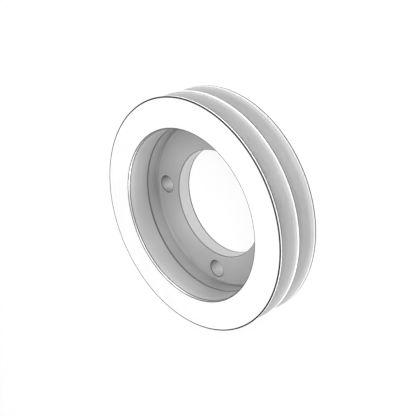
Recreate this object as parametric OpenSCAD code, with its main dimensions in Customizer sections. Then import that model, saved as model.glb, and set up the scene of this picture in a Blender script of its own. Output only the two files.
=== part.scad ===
// Two groove V belt pulley, cast and turned in one piece, with a deep front recess.
// It stands on its rear mounting face, with the recess opening upwards.
// The origin is the centre of that face, and Z is the axis of the shaft.

/* [Rim] */
// Outside diameter over the lands
rim_d = 150; // [146:1:200]
// Width of the land outside the first and the last groove
edge_land = 2.3; // [1.8:0.1:4]

/* [Belt grooves] */
// Number of belt grooves
groove_n = 2; // [2:1:4]
// Distance from one groove to the next
groove_pitch = 15; // [15:0.1:20]
// Width of a groove at the outside diameter
groove_w = 12.2; // [11:0.1:12.6]
// Depth of a groove below the outside diameter
groove_depth = 12.5; // [11.5:0.1:13]
// Angle between the two walls of a groove
groove_angle = 38; // [34:1:40]
// Rounding where a groove wall meets the land
mouth_r = 1.5; // [0.5:0.1:1.6]
// Rounding where a groove wall meets the groove floor
root_r = 1; // [0.2:0.1:1.2]

/* [Front recess] */
// Thickness of the rim between the groove floors and the recess
rim_wall = 7.5; // [6:0.25:8]
// Depth of the lead-in bevel at the mouth of the recess
lip_depth = 1.3; // [0.5:0.1:3]
// Slope of the lead-in bevel, away from the recess wall
lip_angle = 27; // [15:1:60]
// Rounding between the recess wall and the web
web_fillet = 2; // [0.5:0.1:2]
// Distance of the fine turned line behind the front face
line_back = 16.5; // [12:0.5:20]
// Width of the fine turned line around the recess wall
line_w = 0.6; // [0.4:0.1:1.5]
// Depth of the fine turned line
line_depth = 0.35; // [0.1:0.05:0.8]

/* [Web and hub] */
// Thickness of the web from its front to the mounting face
web_t = 10; // [8:0.5:16]
// How far the mounting face stands behind the rim
hub_proud = 4.7; // [3:0.1:7]
// Rounding between the mounting boss and the back of the rim
boss_fillet = 2; // [0.5:0.1:2.5]
// Diameter of the centre bore
bore_d = 71; // [50:0.5:76]

/* [Mounting bolts] */
// Number of bolt holes
bolt_n = 4; // [3:1:8]
// Diameter of the bolt circle
bolt_circle_d = 93; // [91:0.5:95]
// Diameter of each bolt hole
bolt_d = 11; // [8:0.5:11.5]
// Angle of the first bolt hole from the X axis
bolt_start = 45; // [0:5:90]
// Width of the mounting face outside the bolt holes
boss_margin = 4; // [3:0.5:6]

/* [Edges] */
// Small bevel that breaks every sharp edge
edge_break = 0.3; // [0.1:0.1:0.5]

/* [Hidden] */

rim_r = rim_d / 2;
recess_r = rim_r - groove_depth - rim_wall;
bore_r = bore_d / 2;
bolt_circle_r = bolt_circle_d / 2;
boss_r = bolt_circle_r + bolt_d / 2 + boss_margin;
rim_w = (groove_n - 1) * groove_pitch + groove_w + 2 * edge_land;
front_z = hub_proud + rim_w;
first_groove_z = hub_proud + edge_land + groove_w / 2;
floor_w = groove_w - 2 * groove_depth * tan(groove_angle / 2);
line_z = front_z - line_back;

// How far each rounding reaches along the two lines that it joins
half_angle = groove_angle / 2;
mouth_reach = mouth_r * tan((90 - half_angle) / 2);
root_reach = root_r * tan((90 - half_angle) / 2);

// How far a cutter runs past the face that it opens
clear = 1;
round_fn = 180;
hole_fn = 72;
fillet_fn = 96;
arc_steps = 8;

function arc(centre, radius, from, to) = [
    for (i = [0 : arc_steps])
        let (a = from + (to - from) * i / arc_steps)
            centre + radius * [cos(a), sin(a)]
];

function mirrored(points) = [
    for (i = [len(points) - 1 : -1 : 0])
        [points[i].x, -points[i].y]
];

// The filling of a square corner at the origin that opens along +X and +Y
module fillet(radius) {
    difference() {
        square(radius);
        translate([radius, radius])
            circle(r = radius, $fn = fillet_fn);
    }
}

// A diamond that takes a 45 degree bevel off a square corner
module bevel_cut(radius, height, size) {
    translate([radius, height])
        rotate(45)
            square(size * sqrt(2), center = true);
}

// Outline of one groove: floor, root rounding, wall, mouth rounding
module groove() {
    root_centre = [rim_r - groove_depth + root_r, floor_w / 2 - root_reach];
    mouth_centre = [rim_r - mouth_r, groove_w / 2 + mouth_reach];
    upper = concat(
        arc(root_centre, root_r, 180, 90 + half_angle),
        arc(mouth_centre, mouth_r, half_angle - 90, 0),
        [[rim_r + clear, mouth_centre.y]]
    );
    polygon(concat(upper, mirrored(upper)));
}

module grooves() {
    for (i = [0 : groove_n - 1])
        translate([0, first_groove_z + i * groove_pitch])
            groove();
}

// Lead-in bevel at the mouth of the recess, carried on past the front face
module lip() {
    flare = (lip_depth + clear) * tan(lip_angle);
    translate([0, front_z - lip_depth])
        polygon([
            [0, 0],
            [recess_r, 0],
            [recess_r + flare, lip_depth + clear],
            [0, lip_depth + clear]
        ]);
}

// Open space in front of the web, with its bevelled lip and the fine line
module recess() {
    difference() {
        translate([0, web_t])
            square([recess_r, front_z - web_t + clear]);
        translate([recess_r, web_t])
            mirror([1, 0])
                fillet(web_fillet);
    }
    lip();
    translate([recess_r - line_depth, line_z - line_w / 2])
        square([2 * line_depth, line_w]);
}

// Turned blank: rim, web and the mounting boss behind them
module blank() {
    translate([bore_r, hub_proud])
        square([rim_r - bore_r, rim_w]);
    translate([bore_r, 0])
        square([boss_r - bore_r, web_t]);
    translate([boss_r, hub_proud])
        mirror([0, 1])
            fillet(boss_fillet);
}

// Half of the cross section, with the radius along X and the height along Y
module section() {
    difference() {
        blank();
        grooves();
        recess();
        bevel_cut(rim_r, front_z, edge_break);
        bevel_cut(rim_r, hub_proud, edge_break);
        bevel_cut(boss_r, 0, edge_break);
        bevel_cut(bore_r, 0, edge_break);
        bevel_cut(bore_r, web_t, edge_break);
    }
}

module bolt_hole() {
    flare_r = bolt_d / 2 + edge_break + clear;
    flare_h = edge_break + clear;
    translate([0, 0, -clear])
        cylinder(h = web_t + 2 * clear, d = bolt_d, $fn = hole_fn);
    translate([0, 0, -clear])
        cylinder(h = flare_h, r1 = flare_r, r2 = bolt_d / 2, $fn = hole_fn);
    translate([0, 0, web_t - edge_break])
        cylinder(h = flare_h, r1 = bolt_d / 2, r2 = flare_r, $fn = hole_fn);
}

module bolt_holes() {
    for (i = [0 : bolt_n - 1])
        rotate(bolt_start + i * 360 / bolt_n)
            translate([bolt_circle_r, 0, 0])
                bolt_hole();
}

module pulley() {
    color("gainsboro")
        difference() {
            rotate_extrude($fn = round_fn)
                section();
            bolt_holes();
        }
}

pulley();
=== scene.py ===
import math
import bpy
from mathutils import Matrix, Vector

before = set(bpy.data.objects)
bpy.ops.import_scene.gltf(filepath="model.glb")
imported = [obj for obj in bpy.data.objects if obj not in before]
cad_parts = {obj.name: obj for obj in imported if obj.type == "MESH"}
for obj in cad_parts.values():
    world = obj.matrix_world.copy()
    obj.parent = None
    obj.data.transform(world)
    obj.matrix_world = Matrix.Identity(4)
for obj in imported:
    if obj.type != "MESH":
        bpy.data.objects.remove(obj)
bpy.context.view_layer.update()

MM = 0.001

# Camera fitted to the round edges in the photo
LENS_MM = 70.499
SENSOR_MM = 36.0
CLIP = (0.01, 50)
CAMERA_AT = Vector((-0.079733, -0.383299, 0.346254))
CAMERA_RIGHT = Vector((-0.503022, -0.499320, -0.705442))
CAMERA_UP = Vector((0.850065, -0.433228, -0.299504))

# Soft lamps round the pulley: azimuth from +Y towards +X, elevation, width in metres, watts
LAMPS = {
    "lamp_right": (120, 9, 0.6, 20.0),
    "lamp_left": (270, 10, 0.6, 21.0),
    "lamp_front": (180, 38, 0.6, 17.5),
}
LAMP_DISTANCE = 1.2
LAMP_TARGET = Vector((0, 0, 0.02))
WORLD_LIGHT = 0.5

# The floor lights the pulley as pale grey, and is seen as near white, which is plain white far out
FLOOR_SIDE = 12.0
FLOOR_GREY = 0.8
FLOOR_WHITE = 0.9
FLOOR_FADE = (0.25, 0.9)

# Sizes of the pulley in millimetres, as in its source
RIM_R = 75.0
FRONT_Z = 36.5
RIM_BACK_Z = 4.7
FRONT_LAND_BACK_Z = 34.2
RIDGE_BACK_Z = 19.2
RECESS_R = 55.0
LIP_R = 55.66
LIP_Z = 35.2
LINE_Z = 20.0
LINE_R = 55.35
WEB_Z = 10.0
WEB_FILLET = 2.0
BORE_R = 35.5
HOLE_R = 5.5
HOLE_XY = 32.88
BOSS_R = 56.0
EDGE_BREAK = 0.3
# Width of the step at the limit of a surface, where no other is given
MASK_BLUR = 0.1

# Reflectance of the turned faces, the bevel of the lip, the bore, and the dark lines painted as
# shade along the edges
FACE = 0.85
LIP = 0.31
BORED = 0.61
EDGE_SHADE = 0.015
# Reflectance across a bolt hole, from one side to the other: painted shade on one side of the hole
# and painted light on the other, as if lit from one side
HOLE_SHADE_SIDES = (0.23, 0.62)
# Reflectance by radius, from the floor of a groove to the crest: painted shade, darker than the
# front face all through the groove and darkest on the rounding below the crest, lighter again at
# the crest
GROOVE_SHADE_TONES = (
    (62.5, 0.43), (66.5, 0.48), (69.5, 0.475), (72.5, 0.48), (73.6, 0.50), (74.0, 0.445),
    (74.25, 0.37), (74.55, 0.375), (74.8, 0.42), (74.91, 0.48), (74.98, 0.61), (75.0, 0.65),
)
# Reflectance by height, up the rounded corner beside the web and the wall of the recess: painted
# shade, darkest in the crease of the corner and lighter up the wall, with a step at the turned
# line to the cast wall below it
WALL_TONES_AND_SHADE = (
    (10.0, 0.46), (10.07, 0.375), (10.27, 0.27), (10.59, 0.182), (11.0, 0.172), (11.48, 0.235),
    (12.0, 0.305), (15.0, 0.35), (19.6, 0.36), (20.4, 0.42), (28.0, 0.47), (35.2, 0.52),
)
# Reflectance by radius, across the web: the grey of the cast web, darkened further by painted
# shade of the recess
WEB_TONES_AND_SHADE = ((35.5, 0.44), (44.0, 0.435), (50.0, 0.455), (53.0, 0.46))

# Noises of the surface: cycles in a millimetre, detail
COARSE_RINGS = (0.9, 2.0)
FINE_RINGS = (5.0, 1.0)
GRAIN = (1.1, 4.0)
CLOUD = (0.06, 3.0)
# The part of its range that a noise mostly keeps to
NOISE_SPAN = (0.3, 0.7)

# What the noises do to the tone, as factors
RING_TONE = (0.985, 1.015)
CLOUD_TONE = (0.985, 1.015)
GRAIN_TONE = (0.94, 1.06)

# Roughness of turned and cast metal, of the crests of the grooves and of the dark lines of painted
# shade along the edges
TURNED_ROUGH = (0.48, 0.58)
CAST_ROUGH = (0.55, 0.7)
CREST_ROUGH = 0.85
EDGE_SHADE_ROUGH = 0.7
CREST_START_R = 73.8
CREST_BLUR = 1.2

# Height of the relief in millimetres, and the share of each noise in the turned one
TURNED_RELIEF = 0.02
CAST_RELIEF = 0.12
RING_SHARES = (0.6, 0.4)
BUMP_STRENGTH = 0.5

# Dark lines painted along the edges as shade, at silhouettes, creases and corners: radius and
# height of a point near the edge, reach, strength
EDGE_SHADE_LINES = {
    "front_rim": (RIM_R - 0.32, FRONT_Z + 0.2, 0.83, 1.0),
    "front_land_back": (RIM_R - 0.45, FRONT_LAND_BACK_Z + 0.07, 1.25, 1.0),
    "ridge_back": (RIM_R - 0.45, RIDGE_BACK_Z + 0.12, 1.22, 1.0),
    "rim_back": (RIM_R, RIM_BACK_Z + 0.18, 1.14, 1.0),
    "lip_outside": (LIP_R + 0.04, FRONT_Z + 0.06, 0.38, 1.0),
    "lip_inside": (RECESS_R + 0.04, LIP_Z + 0.05, 0.32, 1.0),
    "turned_line": (LINE_R - 0.15, LINE_Z, 0.88, 0.72),
    "bore_front": (BORE_R, WEB_Z - 0.35, 0.55, 0.8),
    "bore_back": (BORE_R, EDGE_BREAK, 0.8, 1.0),
    "boss": (BOSS_R, 0.0, 0.45, 0.6),
}
# The same round the bolt holes, with the distance from the axis of the hole as the radius
HOLE_LINE = (HOLE_R + 0.27, WEB_Z - 0.1, 0.42, 0.85)
# The share of its reach over which a line is at full strength
LINE_CORE = 0.6


def make_camera():
    data = bpy.data.cameras.new("camera")
    data.lens = LENS_MM
    data.sensor_width = SENSOR_MM
    data.clip_start, data.clip_end = CLIP
    camera = bpy.data.objects.new("camera", data)
    back = CAMERA_RIGHT.cross(CAMERA_UP).normalized()
    up = back.cross(CAMERA_RIGHT).normalized()
    right = up.cross(back)
    pose = Matrix((right, up, back)).transposed().to_4x4()
    pose.translation = CAMERA_AT
    camera.matrix_world = pose
    bpy.context.scene.collection.objects.link(camera)
    bpy.context.scene.camera = camera


class Nodes:
    """Builds a node tree; a number or colour given for an input is set on its socket."""

    def __init__(self, owner):
        owner.use_nodes = True
        self.tree = owner.node_tree
        self.tree.nodes.clear()

    def put(self, value, socket):
        if isinstance(value, bpy.types.NodeSocket):
            self.tree.links.new(value, socket)
        else:
            socket.default_value = value

    def add(self, kind, inputs=None, **settings):
        node = self.tree.nodes.new(kind)
        for key, value in settings.items():
            setattr(node, key, value)
        for key, value in (inputs or {}).items():
            self.put(value, node.inputs[key])
        return node

    def math(self, operation, a, b=0.0):
        return self.add("ShaderNodeMath", {0: a, 1: b}, operation=operation).outputs[0]

    def vector(self, x, y):
        return self.add("ShaderNodeCombineXYZ", {0: x, 1: y}).outputs[0]

    def length(self, vector):
        node = self.add("ShaderNodeVectorMath", {0: vector}, operation="LENGTH")
        return node.outputs["Value"]

    def noise(self, place, scale, detail):
        inputs = {"Vector": place, "Scale": scale, "Detail": detail}
        return self.add("ShaderNodeTexNoise", inputs).outputs[0]

    def fade(self, value, start, end, a, b, **settings):
        """a at start and b at end, straight between them; end lies above start."""
        inputs = {"Value": value, "From Min": start, "From Max": end, "To Min": a, "To Max": b}
        return self.add("ShaderNodeMapRange", inputs, **settings).outputs["Result"]

    def above(self, value, limit, blur=MASK_BLUR):
        """1 above the limit and 0 below it, with a smooth step as wide as the blur."""
        start, end = limit - blur / 2, limit + blur / 2
        return self.fade(value, start, end, 0.0, 1.0, interpolation_type="SMOOTHSTEP")

    def below(self, value, limit, blur=MASK_BLUR):
        """0 above the limit and 1 below it, with a smooth step as wide as the blur."""
        start, end = limit - blur / 2, limit + blur / 2
        return self.fade(value, start, end, 1.0, 0.0, interpolation_type="SMOOTHSTEP")

    def ramp(self, value, stops):
        """The level at a value, straight between stops that each hold a value and a level."""
        low, high = stops[0][0], stops[-1][0]
        node = self.add("ShaderNodeValToRGB", {0: self.fade(value, low, high, 0.0, 1.0)})
        points = node.color_ramp.elements
        for i, (at, level) in enumerate(stops):
            is_end = i in (0, len(stops) - 1)
            point = points[i] if is_end else points.new((at - low) / (high - low))
            point.color = (level, level, level, 1)
        return node.outputs["Color"]

    def blend(self, mask, a, b):
        """a where the mask is 0, and b where it is 1."""
        return self.add("ShaderNodeMix", {0: mask, 2: a, 3: b}, data_type="FLOAT").outputs[0]

    def all_of(self, *masks):
        result = masks[0]
        for mask in masks[1:]:
            result = self.math("MULTIPLY", result, mask)
        return result

    def line(self, section, line_r, line_z, reach, strength):
        """The strength round one point of the section, down to 0 at its reach."""
        inputs = {0: section, 1: (line_r, line_z, 0)}
        gap = self.add("ShaderNodeVectorMath", inputs, operation="DISTANCE").outputs["Value"]
        blur = reach * (1 - LINE_CORE)
        return self.math("MULTIPLY", self.below(gap, reach - blur / 2, blur), strength)


def pulley_material():
    material = bpy.data.materials.new("satin_aluminium")
    n = Nodes(material)
    place = n.add("ShaderNodeTexCoord").outputs["Object"]
    mm = n.add("ShaderNodeVectorMath", {0: place, 3: 1 / MM}, operation="SCALE").outputs[0]
    x, y, height = n.add("ShaderNodeSeparateXYZ", {0: mm}).outputs
    radius = n.length(n.vector(x, y))
    section = n.vector(radius, height)

    # Place in the nearest bolt hole; the four holes are alike in all quarters
    off_x = n.math("SUBTRACT", n.math("ABSOLUTE", x), HOLE_XY)
    off_y = n.math("SUBTRACT", n.math("ABSOLUTE", y), HOLE_XY)
    hole = n.length(n.vector(off_x, off_y))
    hole_section = n.vector(hole, height)
    # Place across the hole, in the same direction for every hole, for the painted shade inside the
    # holes
    side_x = n.math("MULTIPLY", off_x, n.math("SIGN", x))
    side_y = n.math("MULTIPLY", off_y, n.math("SIGN", y))
    across_hole = n.math("SUBTRACT", side_y, side_x)

    # Masks of the surfaces, with limits inside the solid or in the middle of an edge
    in_recess = n.all_of(
        n.above(radius, BORE_R + 0.25),
        n.below(radius, LINE_R + 0.085, 0.03),
        n.above(height, WEB_Z - 0.35),
        n.below(height, LIP_Z),
    )
    in_lip = n.all_of(n.below(radius, LIP_R), n.above(height, LIP_Z))
    on_web = n.below(radius, RECESS_R - WEB_FILLET)
    in_groove = n.all_of(
        n.above(radius, RECESS_R + 1.75, 0.5),
        n.above(height, RIM_BACK_Z + 0.35, 0.3),
        n.below(height, FRONT_Z - 0.35, 0.3),
    )
    on_crest = n.all_of(in_groove, n.above(radius, CREST_START_R, CREST_BLUR))
    in_bore = n.below(radius, BORE_R + 0.15)
    in_hole = n.all_of(n.below(hole, HOLE_R + 0.15), n.below(height, WEB_Z - 0.3, 0.2))
    is_cast = n.all_of(in_recess, n.below(height, LINE_Z, 1.0))

    # Rings left by the turning tool, grain of the casting, and a faint cloud of oxide
    coarse = n.noise(section, *COARSE_RINGS)
    fine = n.noise(section, *FINE_RINGS)
    grain = n.noise(mm, *GRAIN)
    cloud = n.noise(mm, *CLOUD)

    # The recess is painted darker than the front face, partly as the grey of the cast metal and
    # partly as shade
    recess = n.blend(on_web, n.ramp(height, WALL_TONES_AND_SHADE), n.ramp(radius, WEB_TONES_AND_SHADE))
    # The grooves are painted darker than the front face, as shade
    tone = n.blend(in_groove, FACE, n.ramp(radius, GROOVE_SHADE_TONES))
    tone = n.blend(in_lip, tone, LIP)
    tone = n.blend(in_recess, tone, recess)
    tone = n.blend(in_bore, tone, BORED)
    # Painted shade inside the bolt holes, darker on one side and lighter on the other
    tone = n.blend(in_hole, tone, n.fade(across_hole, -HOLE_R, HOLE_R, *HOLE_SHADE_SIDES))
    tone = n.math("MULTIPLY", tone, n.fade(coarse, *NOISE_SPAN, *RING_TONE))
    tone = n.math("MULTIPLY", tone, n.fade(cloud, *NOISE_SPAN, *CLOUD_TONE))
    speck = n.blend(is_cast, 1.0, n.fade(grain, *NOISE_SPAN, *GRAIN_TONE))
    tone = n.math("MULTIPLY", tone, speck)

    # Painted shade: dark lines along the edges, in the turned line and round the mouths of the
    # bolt holes
    edge_shade = n.line(hole_section, *HOLE_LINE)
    for values in EDGE_SHADE_LINES.values():
        edge_shade = n.math("MAXIMUM", edge_shade, n.line(section, *values))
    tone = n.blend(edge_shade, tone, EDGE_SHADE)
    colour = n.add("ShaderNodeCombineColor", {0: tone, 1: tone, 2: tone}).outputs[0]

    turned_rough = n.fade(coarse, *NOISE_SPAN, *TURNED_ROUGH)
    cast_rough = n.fade(grain, *NOISE_SPAN, *CAST_ROUGH)
    rough = n.blend(is_cast, turned_rough, cast_rough)
    rough = n.blend(on_crest, rough, CREST_ROUGH)
    rough = n.blend(edge_shade, rough, EDGE_SHADE_ROUGH)

    coarse_part = n.math("MULTIPLY", coarse, RING_SHARES[0])
    fine_part = n.math("MULTIPLY", fine, RING_SHARES[1])
    rings = n.math("ADD", coarse_part, fine_part)
    turned_relief = n.math("MULTIPLY", rings, TURNED_RELIEF)
    cast_relief = n.math("MULTIPLY", grain, CAST_RELIEF)
    bump = n.add("ShaderNodeBump", {
        "Strength": BUMP_STRENGTH,
        "Distance": MM,
        "Height": n.blend(is_cast, turned_relief, cast_relief),
    })

    # Bare metal all over, apart from the dark lines of painted shade, which are matt and take no
    # gloss
    shader = n.add("ShaderNodeBsdfPrincipled", {
        "Base Color": colour,
        "Roughness": rough,
        "Metallic": n.math("SUBTRACT", 1.0, edge_shade),
        "Specular IOR Level": 0.0,
        "Normal": bump.outputs[0],
    })
    n.add("ShaderNodeOutputMaterial", {"Surface": shader.outputs[0]})
    return material


def seen_directly(n):
    """1 for what the camera sees itself, in a reflection or through glass."""
    path = n.add("ShaderNodeLightPath").outputs
    seen = n.math("MAXIMUM", path["Is Camera Ray"], path["Is Glossy Ray"])
    return n.math("MAXIMUM", seen, path["Is Transmission Ray"])


def make_floor():
    material = bpy.data.materials.new("floor")
    n = Nodes(material)
    matt = n.add("ShaderNodeBsdfDiffuse", {"Color": (FLOOR_GREY, FLOOR_GREY, FLOOR_GREY, 1)})
    white = n.add("ShaderNodeEmission", {"Strength": 1.0})
    away = n.length(n.add("ShaderNodeTexCoord").outputs["Object"])
    near, far = FLOOR_FADE
    is_far = n.above(away, (near + far) / 2, far - near)
    mask = n.math("MULTIPLY", seen_directly(n), n.blend(is_far, FLOOR_WHITE, 1.0))
    mixed = n.add("ShaderNodeMixShader", {0: mask, 1: matt.outputs[0], 2: white.outputs[0]})
    n.add("ShaderNodeOutputMaterial", {"Surface": mixed.outputs[0]})

    half = FLOOR_SIDE / 2
    corners = [(-half, -half, 0), (half, -half, 0), (half, half, 0), (-half, half, 0)]
    mesh = bpy.data.meshes.new("floor")
    mesh.from_pydata(corners, [], [(0, 1, 2, 3)])
    mesh.materials.append(material)
    floor = bpy.data.objects.new("floor", mesh)
    bpy.context.scene.collection.objects.link(floor)


def make_world():
    world = bpy.data.worlds.new("studio")
    n = Nodes(world)
    strength = n.blend(seen_directly(n), WORLD_LIGHT, 1.0)
    sky = n.add("ShaderNodeBackground", {"Color": (1, 1, 1, 1), "Strength": strength})
    n.add("ShaderNodeOutputWorld", {"Surface": sky.outputs[0]})
    bpy.context.scene.world = world


def make_lamps():
    for name, (azimuth, elevation, width, watts) in LAMPS.items():
        turn, rise = math.radians(azimuth), math.radians(elevation)
        flat = math.cos(rise)
        out = Vector((math.sin(turn) * flat, math.cos(turn) * flat, math.sin(rise)))
        data = bpy.data.lights.new(name, "AREA")
        data.shape = "DISK"
        data.size = width
        data.energy = watts
        lamp = bpy.data.objects.new(name, data)
        lamp.location = LAMP_TARGET + out * LAMP_DISTANCE
        lamp.rotation_mode = "QUATERNION"
        lamp.rotation_quaternion = out.to_track_quat("Z", "Y")
        bpy.context.scene.collection.objects.link(lamp)


make_camera()
make_world()
make_lamps()
make_floor()
bpy.context.scene.view_settings.view_transform = "Standard"

metal = pulley_material()
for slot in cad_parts["pulley"].material_slots:
    slot.material = metal
